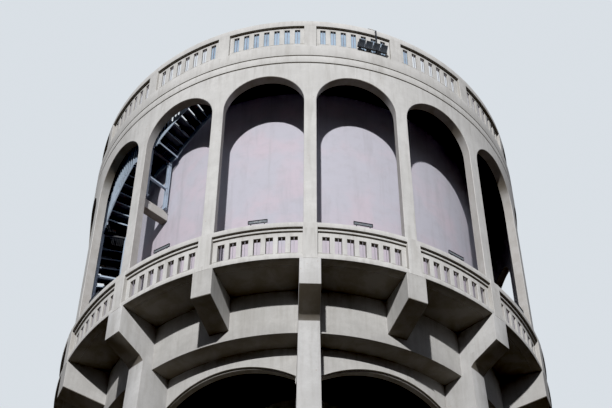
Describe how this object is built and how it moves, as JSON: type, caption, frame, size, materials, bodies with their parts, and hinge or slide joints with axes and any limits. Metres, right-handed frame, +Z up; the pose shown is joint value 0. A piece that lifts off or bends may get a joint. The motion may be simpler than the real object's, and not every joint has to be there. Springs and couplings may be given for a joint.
{
  "type": "concrete water tower",
  "caption": "Tall round concrete water tower on leaning piers, with an arcaded gallery round a plastered tank, slotted balustrades, a steel stair and a floodlight bank.",
  "frame": {"origin": "centre of the tower's footprint on the ground", "axes": "+Z up along the tower's axis, -Y towards the picture's viewpoint"},
  "size_m": [13.4, 13.4, 34.0953],
  "materials": {
    "concrete": "weathered board-marked concrete",
    "plaster": "painted lime plaster",
    "blue_steel": "painted, dulled by weather",
    "dark_metal": "dark satin enamel",
    "pale_sheet": "pale blue coated sheet"
  },
  "bodies": {
    "root": {"pier_1": "concrete", "pier_2": "concrete", "pier_3": "concrete", "pier_4": "concrete", "pier_5": "concrete", "pier_6": "concrete", "pier_7": "concrete", "pier_8": "concrete", "lower_arch_ring": "concrete", "middle_arch_ring": "concrete", "gallery_ring_1": "concrete", "gallery_ring_2": "concrete", "gallery_ring_3": "concrete", "gallery_ring_4": "concrete", "gallery_floor": "concrete", "gallery_balustrade_1": "concrete", "gallery_balustrade_2": "concrete", "gallery_balustrade_3": "concrete", "gallery_balustrade_4": "concrete", "arcade_1": "concrete", "arcade_2": "concrete", "arcade_3": "concrete", "arcade_4": "concrete", "cornice": "concrete", "terrace_floor": "concrete", "terrace_balustrade_1": "concrete", "terrace_balustrade_2": "concrete", "terrace_balustrade_3": "concrete", "terrace_balustrade_4": "concrete", "terrace_screen": "pale_sheet", "tank_wall": "plaster", "tank_floor": "concrete", "central_shaft": "concrete", "stair_flight_1": "blue_steel", "stair_flight_2": "blue_steel", "stair_flight_3": "blue_steel", "stair_flight_4": "blue_steel", "stair_landing_1": "blue_steel", "stair_landing_2": "blue_steel", "stair_landing_3": "blue_steel", "stair_trestle_1": "blue_steel", "stair_trestle_2": "blue_steel", "stair_trestle_3": "blue_steel", "stair_console": "concrete", "floodlight_bank": "dark_metal"}
  },
  "joints": []
}
